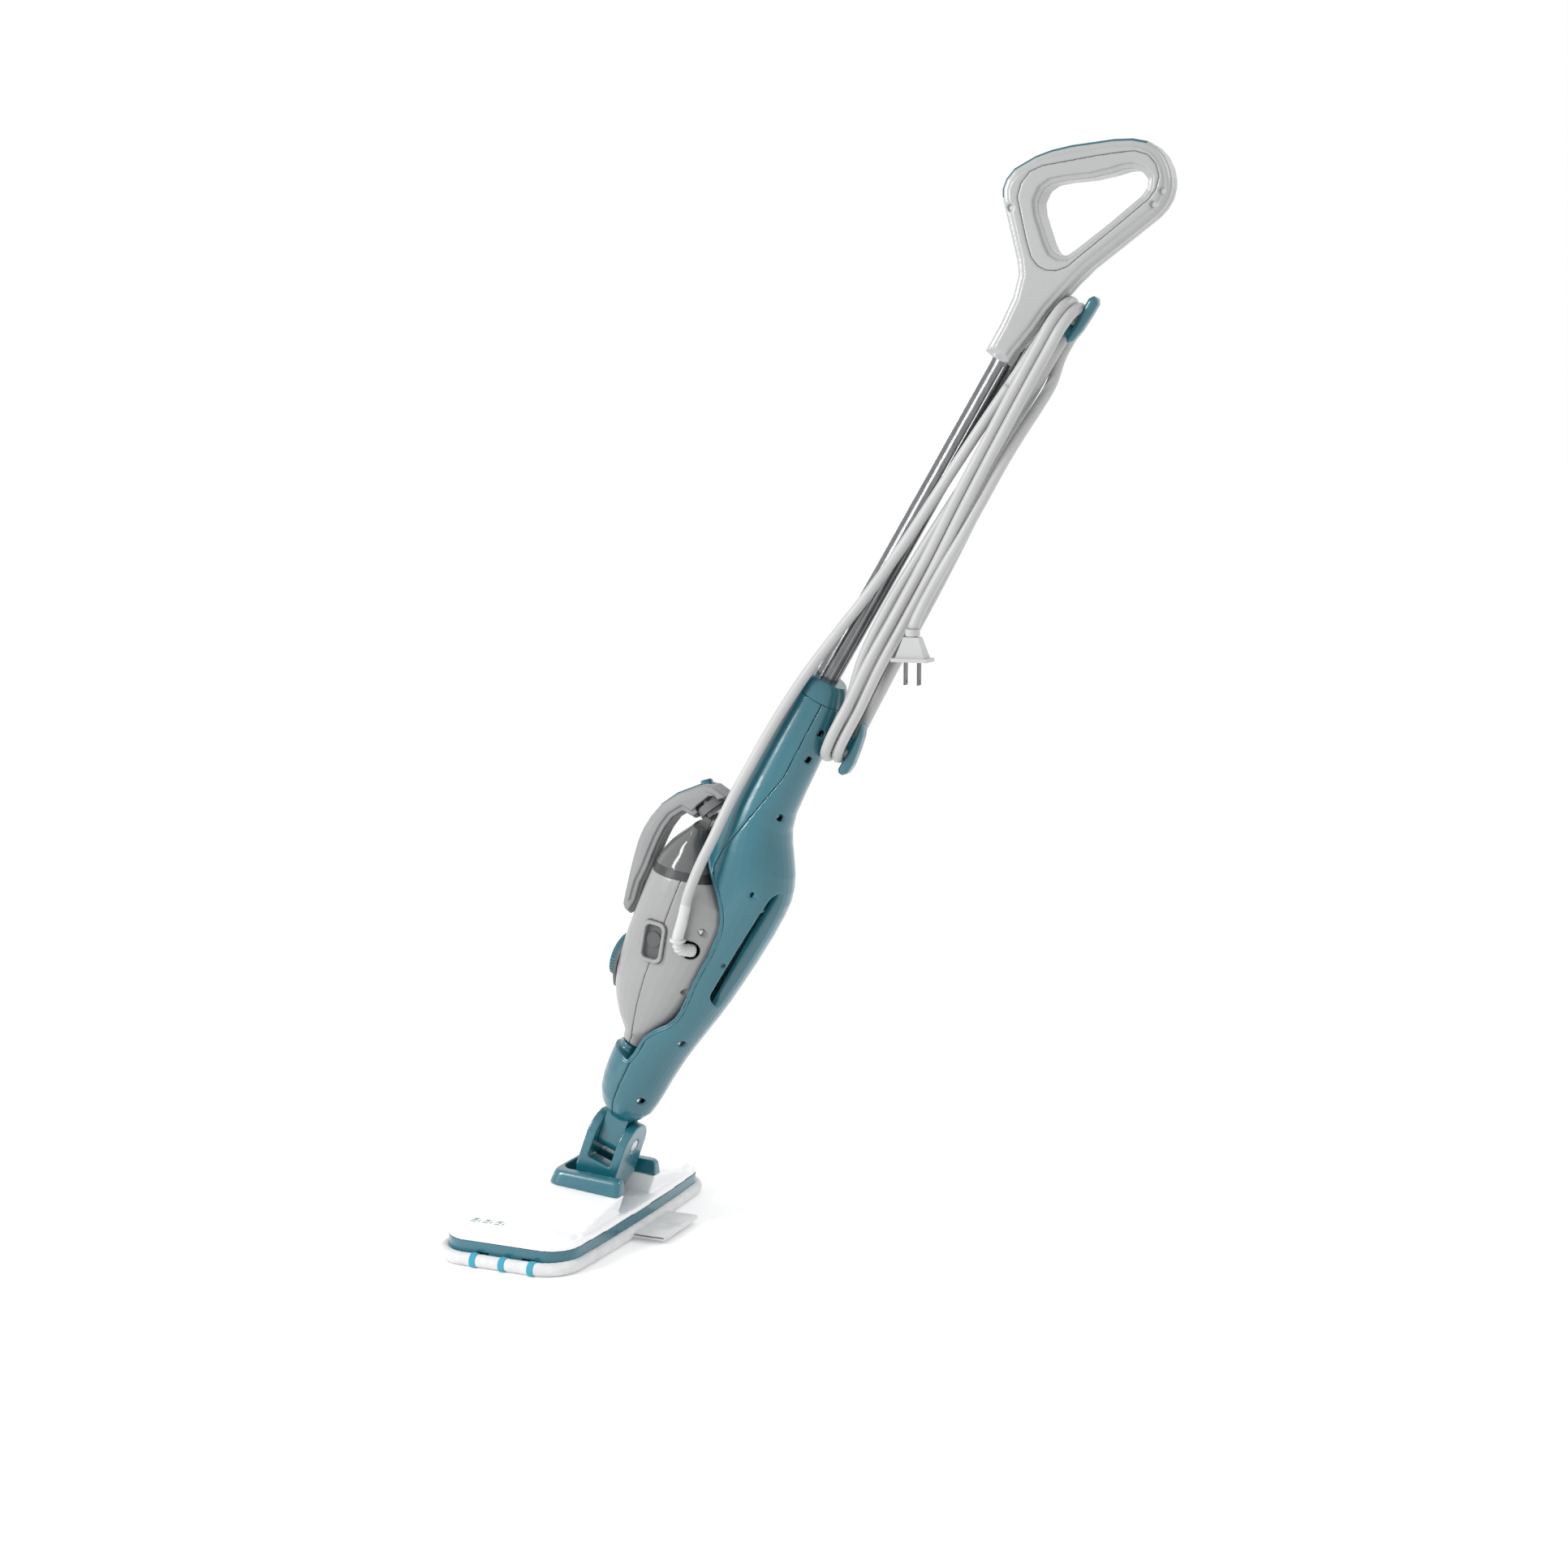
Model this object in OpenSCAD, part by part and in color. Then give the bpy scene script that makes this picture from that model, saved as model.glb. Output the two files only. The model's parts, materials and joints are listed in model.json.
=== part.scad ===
// Steam mop with a lift-out hand steamer, a swivelling mast and a wound mains cord.
// Millimetres. +Z up, the floor at z = 0, X along the floor head, -Y the front.
// The origin is on the floor at the middle of the head's pad.

/* [Floor head] */
// length of the teal base along X
head_len = 300; // [260:1:340]
// depth of the teal base along Y at its middle
head_depth = 145; // [120:1:170]
// corner radius of the head in plan
head_corner = 28; // [20:1:45]
// diameter of the sewn edge roll of the pad
piping_d = 12.5; // [8:0.5:14]
// height of the top edge of the teal band
band_top = 22; // [20:0.5:26]

/* [Joint] */
// height of the tilt pin above the floor
tilt_z = 44; // [40:1:50]
// distance of the tilt pin behind the middle of the head
tilt_y = 24; // [15:1:30]
// lean of the fork away from upright, degrees
fork_lean = 20; // [0:1:30]
// lean of the mast away from upright, degrees
mast_lean = 30.5; // [15:0.5:40]
// distance from the tilt pin to the swivel pin
pin_gap = 52; // [48:1:56]
// diameter of the tilt and swivel pins
pin_d = 8; // [6:0.5:10]

/* [Mast] */
// outside diameter of the pole
pole_d = 22; // [19:0.5:25]
// wall of the pole
pole_wall = 1.2; // [0.8:0.1:2]
// wall of the frame shells
frame_wall = 3; // [2:0.1:4]
// width of the upper handle along X
handle_w = 32; // [26:1:38]

/* [Hand steamer] */
// half width of the steamer body at its widest
steamer_half = 46; // [42:0.5:48]
// wall of the steamer shells
steamer_wall = 2.4; // [1.6:0.1:3]
// diameter of the steam dial
dial_d = 44; // [36:1:48]
// diameter of the power button
button_d = 18; // [14:1:20]

/* [Cord] */
// diameter of the mains cord
cord_d = 10; // [8:0.5:11]

/* [Hidden] */
$fn = 48;
pin_r = pin_d / 2;
fit = 0.05;
lip = 0.1;
ha = head_len / 2;
hb = head_depth / 2;
bow = 0.00022;
pad_a = ha + 5.25 + piping_d / 2;
pad_b = hb + 1.25 + piping_d / 2;
pole_y = -51;
pole_r = pole_d / 2;
cord_r = cord_d / 2;
delta = mast_lean - fork_lean;
sk = steamer_half / 46;

// ---- frames -------------------------------------------------------------------------
module in_mast() {
    translate([0, tilt_y, tilt_z]) rotate([-mast_lean, 0, 0]) children();
}
module in_fork() {
    translate([0, tilt_y, tilt_z]) rotate([-fork_lean, 0, 0]) children();
}
// a side outline given as [y, z] becomes a plate of width w across X
module side(w) {
    rotate([90, 0, 90]) linear_extrude(w, center = true) children();
}
// the same plate with its edges eased in three steps
module eased_side(w, r) {
    side(w - 2 * r) children();
    side(w - 0.59 * r) offset(delta = -0.29 * r) children();
    side(w) offset(delta = -r) children();
}
// a rod along the mast's own y direction
module y_rod(r, y0, y1) {
    translate([0, y0, 0]) rotate([-90, 0, 0]) cylinder(r = r, h = y1 - y0);
}
module x_rod(r, x0, x1) {
    translate([x0, 0, 0]) rotate([0, 90, 0]) cylinder(r = r, h = x1 - x0);
}

// ---- lofted bodies ------------------------------------------------------------------
// station: [z, centre y, half width, front y, rear y], grown by g all round
function pw(v, n) = (v < 0 ? -1 : 1) * pow(abs(v), 2 / n);
function ring(s, g, nf, nr, m) = [for (i = [0:m - 1])
    let (t = 360 * i / m, n = sin(t) < 0 ? nf : nr,
         b = sin(t) < 0 ? s[1] - s[3] + g : s[4] - s[1] + g)
    [(s[2] + g) * pw(cos(t), n), s[1] + b * pw(sin(t), n), s[0]]];
module loft(st, g = 0, nf = 2, nr = 2, m = 32) {
    k = len(st);
    pts = [for (s = st) each ring(s, g, nf, nr, m)];
    sides = [for (j = [0:k - 2]) for (i = [0:m - 1])
        let (a = j * m + i, b = j * m + (i + 1) % m) [a, a + m, b + m, b]];
    low = [[for (i = [0:m - 1]) i]];
    top = [[for (i = [m - 1:-1:0]) (k - 1) * m + i]];
    polyhedron(points = pts, faces = concat(sides, low, top), convexity = 6);
}
// the stations of a loft between two heights
function between(st, z0, z1) = [for (s = st) if (s[0] >= z0 && s[0] <= z1) s];
// a tube of radius r along points p, m sides, rings square to the route
function unit(v) = v / norm(v);
function tang(p, i) = unit(p[min(i + 1, len(p) - 1)] - p[max(i - 1, 0)]);
function bend(a, b, t, u) = a * (2 * u * u * u - 3 * u * u + 1) + b * (3 * u * u - 2 * u * u * u)
    + t[0] * (u * u * u - 2 * u * u + u) + t[1] * (u * u * u - u * u);
function route(p, q) = concat([for (i = [0:len(p) - 2]) for (j = [0:q - 1])
    let (t0 = (p[i + 1] - p[max(i - 1, 0)]) / 2,
         t1 = (p[min(i + 2, len(p) - 1)] - p[i]) / 2)
    bend(p[i], p[i + 1], [t0, t1], j / q)], [p[len(p) - 1]]);
module tube(p, r, m = 10) {
    k = len(p);
    pts = [for (i = [0:k - 1])
        let (t = tang(p, i), a = unit(cross(t, [0.05, 1, 0.02])), b = cross(a, t))
        for (j = [0:m - 1]) p[i] + r * (cos(360 * j / m) * a + sin(360 * j / m) * b)];
    sides = [for (i = [0:k - 2]) for (j = [0:m - 1])
        let (a = i * m + j, b = i * m + (j + 1) % m) [a, b, b + m, a + m]];
    low = [[for (j = [m - 1:-1:0]) j]];
    top = [[for (j = [0:m - 1]) (k - 1) * m + j]];
    polyhedron(points = pts, faces = concat(sides, low, top), convexity = 10);
}

// ---- floor head -----------------------------------------------------------------------
// plan outline: bowed long sides and round corners
function plan(a, b, r) = let (x0 = a - r, y0 = b - bow * x0 * x0 - r,
    q = concat([for (t = [0:9:90]) [x0 + r * cos(t), y0 + r * sin(t)]],
               [for (u = [0.8:-0.2:0]) [x0 * u, b - bow * pow(x0 * u, 2)]]))
    concat(q, [for (i = [len(q) - 2:-1:0]) [-q[i][0], q[i][1]]],
           [for (p = q) if (p[1] > 0) [-p[0], -p[1]]],
           [for (i = [len(q) - 2:-1:0]) [q[i][0], -q[i][1]]]);
// the head's outline sits 2 mm in front of the origin
module slab(a, b, r, z0, z1, y0 = -2) {
    translate([0, y0, z0]) linear_extrude(z1 - z0) polygon(plan(a, b, r));
}
// the pad: a flat cloth sole with a fat rolled edge
module head_pad() {
    pr = piping_d / 2;
    color("WhiteSmoke") {
        slab(ha - 1, hb - 1, head_corner, 0, 5);
        difference() {
            union() {
                slab(pad_a - 3.4, pad_b - 3.4, head_corner + 8, 0, piping_d, -4);
                slab(pad_a - 1, pad_b - 1, head_corner + 10, 1.2, piping_d - 1.2, -4);
                slab(pad_a, pad_b, head_corner + 11, 3.4, piping_d - 3.4, -4);
            }
            slab(ha + 0.5, hb + 0.5, head_corner + 1, 5, 20);
            slab(ha - 1.5, hb - 1.5, head_corner, -1, 20);
        }
    }
}
// three woven loops round the edge roll at each short end
module pad_stripes() {
    color("SteelBlue")
    for (s = [-1, 1]) for (y = [-27.5, 3.5, 34.3])
        translate([s * (pad_a + 0.02), y - 3, 2.5]) {
            translate([s > 0 ? 0 : -0.6, 0, 0]) cube([0.6, 6, piping_d - 5]);
        }
}
// folded cloth tab behind the pad, for peeling it off
module pull_tab() {
    color("Gainsboro")
    translate([-8, pad_b - 3.98, 3.4])
        difference() {
            translate([-37, 0, 0]) cube([74, 34, 5]);
            translate([-40, 1.5, 2]) cube([80, 30, 1]);
        }
}
module steam_plate() {
    color("Silver") difference() {
        slab(ha - 10, hb - 10, head_corner - 4, 5, 8);
        for (x = [-110:22:110]) for (y = [-30, 0, 30])
            translate([x, y, 4]) cylinder(d = 4, h = 5, $fn = 20);
    }
}
module head_base() {
    color("SteelBlue") difference() {
        slab(ha, hb, head_corner, 8, band_top);
        slab(ha - 3, hb - 3, head_corner - 2, 11, band_top + 1);
        translate([0, 0, 7]) cylinder(d = 9, h = 6);
        for (s = [-1, 1]) for (y = [-28.5, 20])
            translate([s * ha - 5, y, 6.5]) cube([10, 13, 6.5]);
        for (x = [36, -62]) for (s = [-1, 1])
            translate([x, s > 0 ? hb - 9 : -hb - 5, 7]) cube([16, 10, 6]);
        for (x = [-120, 120]) for (y = [-40, 40])
            translate([x, y, 7]) cylinder(r = 1.65, h = 8, $fn = 24);
    }
}
// seat for the fork, cut through the cover and the bezel
module fork_well() {
    translate([0, 0, 27]) linear_extrude(70) hull() {
        translate([-21, 10]) circle(r = 12);
        translate([21, 10]) circle(r = 12);
        translate([-33, 22]) square([66, 80]);
    }
}
module lean_hood(z0, k = -0.085) {
    multmatrix([[1, 0, 0, 0], [0, 1, 0, 0], [0, k, 1, z0], [0, 0, 0, 1]]) children();
}
// outline of the hood: half width a, front edge y0, rear edge y1, corner radius r
module hood_foot(a, y0, y1, r) {
    hull() for (s = [-1, 1]) {
        translate([s * (a - r), y0 + r]) circle(r = r);
        translate([s * (a - 5), y1 - 5]) circle(r = 5);
    }
}
module head_cover() {
    color("White") difference() {
        union() {
            slab(ha, hb, head_corner, band_top, 25.5);
            slab(ha - 1.2, hb - 1.2, head_corner, 25.5, 26.6);
            slab(ha - 3, hb - 3, head_corner, 26.6, 27.4);
            slab(ha - 5, hb - 9, head_corner, 27.4, 30);
            slab(ha - 6.2, hb - 10.2, head_corner, 30, 31);
            hull() {
                translate([-112, -56, 29]) cube([224, 118, 1.5]);
                lean_hood(51.5) linear_extrude(0.6) hood_foot(48, -11, 68, 13);
            }
        }
        hull() {
            translate([-104, -50, band_top - 1]) cube([60, 100, 5]);
            translate([-53, -14, 24]) cube([9, 70, 16]);
        }
        hull() {
            translate([44, -50, band_top - 1]) cube([60, 100, 5]);
            translate([44, -14, 24]) cube([9, 70, 16]);
        }
        slab(ha - 3, hb - 3, head_corner - 2, band_top - 1, 24);
        translate([0, tilt_y, tilt_z]) x_rod(pin_r + fit, -41, 41);
        fork_well();
        for (x = [-120, 120]) for (y = [-40, 40])
            translate([x, y, 20]) cylinder(r = 1.65, h = 9, $fn = 24);
        steam_mark_cut();
    }
    // the floor of the fork seat
    color("White") difference() {
        translate([-44, -30, 24]) cube([88, 96, 3]);
        translate([0, 0, 20]) cylinder(d = 9, h = 10);
    }
}
// teal hood round the fork, open towards the user
module head_bezel() {
    color("SteelBlue") difference() {
        hull() {
            lean_hood(52.2) linear_extrude(0.6) hood_foot(48, -11, 68, 13);
            lean_hood(62.6, -0.065) linear_extrude(0.6) hood_foot(44.8, -7, 68, 12);
            lean_hood(65.4, -0.065) linear_extrude(0.6) hood_foot(42.6, -4.6, 66, 10);
        }
        fork_well();
    }
}
// generic steam sign on the cover: three short waves
module wave() {
    for (i = [0:2]) translate([0, i * 4, 0]) {
        translate([-3, 0]) square([6, 1.4], center = true);
        translate([i % 2 == 0 ? 2.7 : -2.7, 2]) square([1.4, 5.2], center = true);
    }
}
module steam_mark_cut() {
    for (i = [-1:1]) translate([120, -34 + i * 13, 30.4]) rotate([0, 0, 90])
        linear_extrude(3) wave();
}
module steam_mark() {
    color("SteelBlue")
    for (i = [-1:1]) translate([120, -34 + i * 13, 30.4]) rotate([0, 0, 90])
        linear_extrude(0.65) wave();
}
module tilt_pin() {
    color("DimGray") translate([0, tilt_y, tilt_z]) x_rod(pin_r, -41, 41);
}
module head_screws() {
    color("Silver") for (x = [-120, 120]) for (y = [-40, 40]) translate([x, y, 11.05]) {
        cylinder(r = 3.2, h = 2.2, $fn = 24);
        translate([0, 0, -2.9]) cylinder(r = 1.6, h = 17.9, $fn = 24);
    }
}

// ---- fork -------------------------------------------------------------------------------
ear_r = 23;
module fork() {
    color("SteelBlue") in_fork() difference() {
        union() {
            x_rod(15, -30, 30);
            hull() {
                x_rod(15, -ear_r, ear_r);
                translate([-ear_r, -22, 17]) cube([2 * ear_r, 44, 13]);
            }
            for (s = [0, 1]) mirror([0, s, 0]) {
                translate([-ear_r, 12.5, 29]) cube([2 * ear_r, 9.5, pin_gap - 29]);
                translate([0, 0, pin_gap]) y_rod(ear_r, 12.5, 22);
            }
        }
        x_rod(pin_r + fit, -40, 40);
        translate([0, 0, pin_gap]) y_rod(pin_r + fit, -30, 30);
        translate([0, 0, pin_gap]) y_rod(7, 20, 23);
        translate([0, 0, pin_gap]) y_rod(7, -23, -20);
        translate([-7, -12.5, 22]) cube([14, 25, 9]);
    }
}
module swivel_pin() {
    color("DimGray") in_fork() translate([0, 0, pin_gap]) {
        y_rod(pin_r, -20, 20);
        y_rod(6, 20, 21.6);
        y_rod(6, -21.6, -20);
    }
}

// ---- mast: tongue and frame --------------------------------------------------------------
module swivel_tongue() {
    color("SteelBlue") in_fork() difference() {
        union() {
            translate([0, 0, pin_gap]) y_rod(13, -12, 12);
            translate([-13, -12, pin_gap]) cube([26, 24, 52]);
            translate([-16, -15, 94]) cube([32, 30, 8]);
        }
        translate([0, 0, pin_gap]) y_rod(pin_r + fit, -13, 13);
        translate([0, 0, 70]) cylinder(r = 4.1, h = 40);
    }
}
frame_st = [
    [73, -15, 9, -24, -7], [74.8, -15.5, 15, -31, -3], [78.4, -16, 19.5, -35.5, 1],
    [84, -16.5, 23.4, -42, 5], [94, -18, 27.6, -48, 9.8], [106, -19.5, 29.4, -51.6, 11.2],
    [120, -21, 30.4, -54, 11.6], [134, -22, 30.8, -55.4, 11.8], [150, -21.5, 31.2, -56, 12.4],
    [165, -20, 32, -57, 13.4], [180, -18, 32.4, -59, 15.2], [200, -16, 32.8, -62, 18],
    [220, -14.5, 33.8, -66, 20.8], [240, -13.5, 35.2, -68, 23], [262, -13, 36.8, -70, 24.6],
    [290, -13, 38, -71, 26.2], [320, -13, 38.4, -72, 27.2], [343, -14, 38.2, -73, 26.8],
    [357, -16, 37.8, -73, 25.4], [369, -20, 37.2, -73, 22], [381, -25, 36.4, -73, 16.2],
    [393, -30, 35, -73, 7.8], [405, -34, 33.6, -73, -1.3], [417, -37.5, 32.2, -73, -8.4],
    [433, -40.5, 30.4, -73, -12.8], [458, -43, 28.2, -73, -15], [500, -45, 26.2, -73, -17.8],
    [530, -47, 25, -73, -20.5], [545, -48.5, 24.5, -73, -23]];
rim = [[-90, 141], [-29, 141], [-27, 152], [-26, 172], [-20, 185], [-12, 197], [-8, 207],
    [-7, 217], [-9, 251], [-9, 285], [-11, 308], [-15, 319], [-22, 329], [-31, 337],
    [-44, 346], [-56, 354], [-66, 362], [-72, 372], [-75, 384], [-90, 390]];
parting = [[-14, 60], [-19, 84], [-22, 96], [-24, 114], [-25, 133], [-25.5, 141],
    [-23.4, 152], [-22.6, 171], [-17.2, 183], [-9.4, 195], [-4.6, 206], [-3.5, 217],
    [-5.4, 251], [-5.4, 285], [-7.6, 309], [-12, 321], [-19.6, 331.6], [-29, 340],
    [-42, 349], [-48, 358], [-48, 377], [-43, 403], [-38, 434], [-33, 466], [-35, 509],
    [-37, 560]];
module frame_skin() {
    difference() {
        loft(frame_st);
        loft(frame_st, -frame_wall);
        side(160) polygon(rim);
        // finger openings left and right of the carrying bar
        for (s = [-1, 1]) hull() {
            translate([s * 45, 23.5, 248]) x_rod(13.5, -31, 30);
            translate([s * 45, 28, 358]) x_rod(14.5, -31, 30);
        }
    }
}
frame_screw = [[20.5, 2.4, 109.5], [19.5, 9.2, 184.5], [18, -17.6, 430], [15, -22.7, 491.5],
    [14, -24.6, 519]];
module frame_rear() {
    color("SteelBlue") in_mast() difference() {
        union() {
            intersection() {
                frame_skin();
                side(160) polygon(concat(parting, [[60, 560], [60, 60]]));
            }
            // carrying bar
            intersection() {
                loft(between(frame_st, 200, 400), -0.1);
                translate([-14, 11, 224]) cube([28, 40, 166]);
            }
            intersection() {
                loft(between(frame_st, 90, 545), -0.3);
                for (p = frame_screw) for (s = [-1, 1])
                    translate([s * p[0], 0, p[2]]) y_rod(4.4, p[1] - 18, p[1] - 3);
            }
        }
        for (p = frame_screw) for (s = [-1, 1]) translate([s * p[0], 0, p[2]]) {
            y_rod(3.4, p[1] - 5, p[1] + 20);
            y_rod(1.65, p[1] - 30, p[1]);
        }
        for (s = [-1, 1]) translate([s * 35.4, 0, 357.5]) y_rod(3.2, -3, 20);
        for (s = [-1, 1]) translate([s * 31, 0, 280.5]) y_rod(2.6, 6.2, 20);
        tongue_slot();
        translate([0, 0, 522]) y_rod(6 + fit, -40, 0);
    }
}
module tongue_slot() {
    rotate([delta, 0, 0]) translate([-13.2, -12.2, 60]) cube([26.4, 24.4, 60]);
}
module frame_front() {
    color("SteelBlue") in_mast() difference() {
        union() {
            intersection() {
                frame_skin();
                side(160) polygon(concat(parting, [[-120, 560], [-120, 60]]));
            }
            // floor under the steamer's nose, and the collar the nose stands on
            intersection() {
                loft(between(frame_st, 100, 170), -0.2);
                translate([-40, -80, 137]) cube([80, 80 - 25.6, 4]);
            }
            translate([0, -39.5, 137]) scale([1.5, 1.09, 1]) cylinder(r = 11, h = 11);
            // roof over the steamer, free of the rear shell
            for (g = [0.2, -0.15]) intersection() {
                loft(between(frame_st, 300, 410), g - frame_wall);
                side(160) polygon([[-72, 373], [-70, 370.5], [-20, 353.5], [4, 331], [6, 333],
                    [-19, 356], [-70, 373.4], [-72, 376]]);
                if (g > 0) side(160) polygon(concat(parting, [[-120, 560], [-120, 60]]));
            }
        }
        translate([0, -39, 120]) cylinder(r = 5, h = 40);
        translate([0, -64, 150]) sphere(r = 14);
        tongue_slot();
        for (p = frame_screw) for (s = [-1, 1])
            translate([s * p[0], 0, p[2]]) y_rod(1.65, p[1] - 40, p[1]);
    }
}
collar_st = [[545.1, -48.5, 24.5, -73, -23], [556, -49.5, 24, -73, -27],
    [560, -50, 22.8, -71.6, -28.6], [563, -50.5, 20, -69, -31]];
module frame_collar() {
    color("CadetBlue") in_mast() difference() {
        union() {
            loft(collar_st);
            translate([0, pole_y, 438]) cylinder(r = pole_r + 3.4, h = 108);
            for (z = [442, 536]) intersection() {
                loft(between(frame_st, 410, 550), -frame_wall - 0.15);
                translate([-40, -90, z]) cube([80, 80, 3]);
            }
        }
        translate([0, pole_y, 430]) cylinder(r = pole_r + fit, h = 140);
        translate([0, 0, 522]) y_rod(6 + fit, -40, 0);
        translate([0, pole_y, 500]) x_rod(2 + fit, -30, 30);
        for (p = frame_screw) for (s = [-1, 1])
            translate([s * p[0], 0, p[2]]) y_rod(4.7, p[1] - 19, p[1]);
    }
}
module screw(l) {
    y_rod(3, -5, -2.6);
    y_rod(1.6, -5 - l, -4.9);
}
module frame_screws() {
    color("DimGray") in_mast() for (p = frame_screw) for (s = [-1, 1])
        translate([s * p[0], p[1], p[2]]) screw(14);
}
module steam_tube() {
    color("Gainsboro") in_mast() difference() {
        union() {
            translate([0, -39, 112]) cylinder(r = 4.8, h = 34);
            translate([0, -39, 112]) sphere(r = 4.8);
        }
        translate([0, -39, 113]) cylinder(r = 3, h = 40);
    }
}
module socket_seal() {
    color("DimGray") in_mast() translate([0, -39, 148]) difference() {
        cylinder(r = 9.5, h = 1.6);
        translate([0, 0, -1]) cylinder(r = 5, h = 4);
    }
}
module pole() {
    color("Gray") in_mast() translate([0, pole_y, 440]) difference() {
        cylinder(r = pole_r, h = 520);
        translate([0, 0, -1]) cylinder(r = pole_r - pole_wall, h = 524);
        for (a = [20:40:340]) rotate([0, 0, a]) translate([pole_r + 0.9, 0, 125])
            cylinder(r = 1.5, h = 325, $fn = 16);
        translate([0, 0, 60]) x_rod(2 + fit, -30, 30);
        translate([0, 0, 480]) x_rod(2 + fit, -30, 30);
    }
}
module pole_pin() {
    color("Silver") in_mast() for (z = [500, 920])
        translate([0, pole_y, z]) x_rod(2, -14, 14);
}

// ---- upper handle -------------------------------------------------------------------------
handle_out = [[-68.5, 893], [-68.5, 920], [-70.5, 945], [-76, 964], [-83, 973], [-98, 988],
    [-121, 1011], [-126, 1019], [-127.5, 1028], [-125.5, 1039], [-114, 1057], [-104, 1068],
    [-90, 1080], [-76, 1090], [-60, 1101.5], [-46, 1109.5], [-34, 1113.5], [-24, 1113.5],
    [-14, 1110.5], [-5, 1104.5], [1, 1098], [5, 1091], [7.5, 1083], [7.5, 1074], [5.5, 1065],
    [-5, 1040], [-22, 1000], [-27, 983], [-31, 966], [-34.5, 950], [-36.5, 930], [-41, 905],
    [-41.5, 893]];
handle_seam = [[-109, 1020], [-112, 1032], [-110, 1044], [-102, 1054], [-94, 1060],
    [-66, 1082], [-48, 1095], [-37, 1102], [-26, 1104.5], [-16, 1101.5], [-8, 1094],
    [-5, 1084], [-6, 1074], [-20, 1039], [-34, 1005], [-39, 992], [-46, 984], [-54, 980],
    [-63, 979.5], [-72, 983], [-84, 994]];
handle_hole = [[-85, 1018], [-91, 1026], [-92, 1036], [-88, 1044], [-78, 1052], [-60, 1064],
    [-46, 1076], [-38, 1084], [-31, 1088.5], [-23, 1089.5], [-16, 1087], [-13, 1081],
    [-14, 1073], [-27, 1040], [-41, 1008], [-45, 1000], [-51, 996.5], [-58, 996.5],
    [-65, 1001]];
module handle_solid() {
    difference() {
        union() {
            eased_side(handle_w, 7) polygon(handle_out);
            translate([0, -55, 893]) cylinder(r = 14.5, h = 40);
        }
        side(handle_w + 10) offset(delta = 0.1) polygon(handle_seam);
        translate([0, pole_y, 880]) cylinder(r = pole_r + fit, h = 81);
        translate([0, pole_y, 920]) x_rod(2 + fit, -14.4, 14.4);
        translate([0, 0, 944]) y_rod(6 + fit, -39.7, 0);
        side(19) polygon(trim_cut);
        for (p = handle_screw) translate([0, p[0], p[1]]) {
            x_rod(2.8, 9, 30);
            x_rod(1.45, -12, 10);
        }
    }
}
handle_screw = [[0.6, 1085], [-0.6, 1072], [-110, 1009.5]];
trim_cut = [[-130, 1006], [-121.5, 1013.5], [-124.6, 1021], [-125.4, 1028], [-123.7, 1038],
    [-112.6, 1055.6], [-103, 1066], [-89, 1078], [-75, 1088], [-59.2, 1099.4],
    [-45.4, 1107.2], [-34, 1111], [-34, 1125], [-60, 1120], [-110, 1090], [-140, 1040]];
module handle_left() {
    color("Gainsboro") in_mast() intersection() {
        handle_solid();
        translate([0, -200, 850]) cube([60, 300, 300]);
    }
}
module handle_right() {
    color("Gainsboro") in_mast() intersection() {
        handle_solid();
        translate([-60, -200, 850]) cube([60, 300, 300]);
    }
}
module handle_insert() {
    color("LightGray") in_mast() difference() {
        side(handle_w - 0.6) polygon(handle_seam);
        side(60) offset(delta = 0.4) polygon(handle_hole);
        for (s = [-1, 1]) translate([s * (handle_w / 2 + 3), 0, 0]) side(12)
            offset(delta = 5) polygon(handle_hole);
    }
}
module handle_trim() {
    color("SteelBlue") in_mast() intersection() {
        side(18.8) polygon(handle_out);
        side(18.8) offset(delta = -0.1) polygon(trim_cut);
    }
}
module handle_screws() {
    color("DimGray") in_mast() for (p = handle_screw) translate([0, p[0], p[1]]) {
        x_rod(2.6, 9, 11);
        x_rod(1.4, -11, 9.1);
    }
}
module upper_hook() {
    color("SteelBlue") in_mast() {
        eased_side(14, 3) polygon([[-12, 938], [-9, 935], [-5.5, 938], [-3, 950], [-2, 968],
            [-2, 977], [-5, 981], [-9, 981], [-12, 977]]);
        translate([0, 0, 944]) y_rod(6, -39.6, -8);
    }
}
module lower_hook() {
    color("SteelBlue") in_mast() {
        eased_side(16, 3) polygon([[2.5, 497], [5, 494], [9, 494], [12.4, 498], [13, 508],
            [11, 522], [8, 536], [4, 545], [0.5, 546], [1.5, 530], [2.5, 515]]);
        translate([0, 0, 522]) y_rod(6, -36, 6);
    }
}

// ---- hand steamer -------------------------------------------------------------------------
body_st = [
    [150, -39.5, 17, -52.5, -27], [156, -39.5, 19, -54, -26], [160, -39.5, 21, -56.5, -25],
    [165, -40, 24.4, -61.5, -22], [173, -41, 29.4 * sk, -70, -18],
    [184, -42.5, 33.6 * sk, -79, -13.5], [196, -45, 37.6 * sk, -86, -9.5],
    [210, -47.5, 41 * sk, -91.5, -6], [229, -50.5, 43.8 * sk, -96, -3],
    [251, -53.5, 45.4 * sk, -100, -1.5], [274, -56.5, 46 * sk, -103, -1],
    [296, -60, 46 * sk, -105.5, -1.5], [312, -62.5, 45.6 * sk, -107, -4],
    [324, -64.5, 44.6 * sk, -107.6, -11], [336, -67, 42.6 * sk, -107, -30],
    [348, -71, 39.6 * sk, -104, -48], [358, -75, 36 * sk, -100, -62],
    [367, -79, 31.5 * sk, -95.5, -73], [376, -83.5, 26.5 * sk, -91, -76]];
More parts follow.
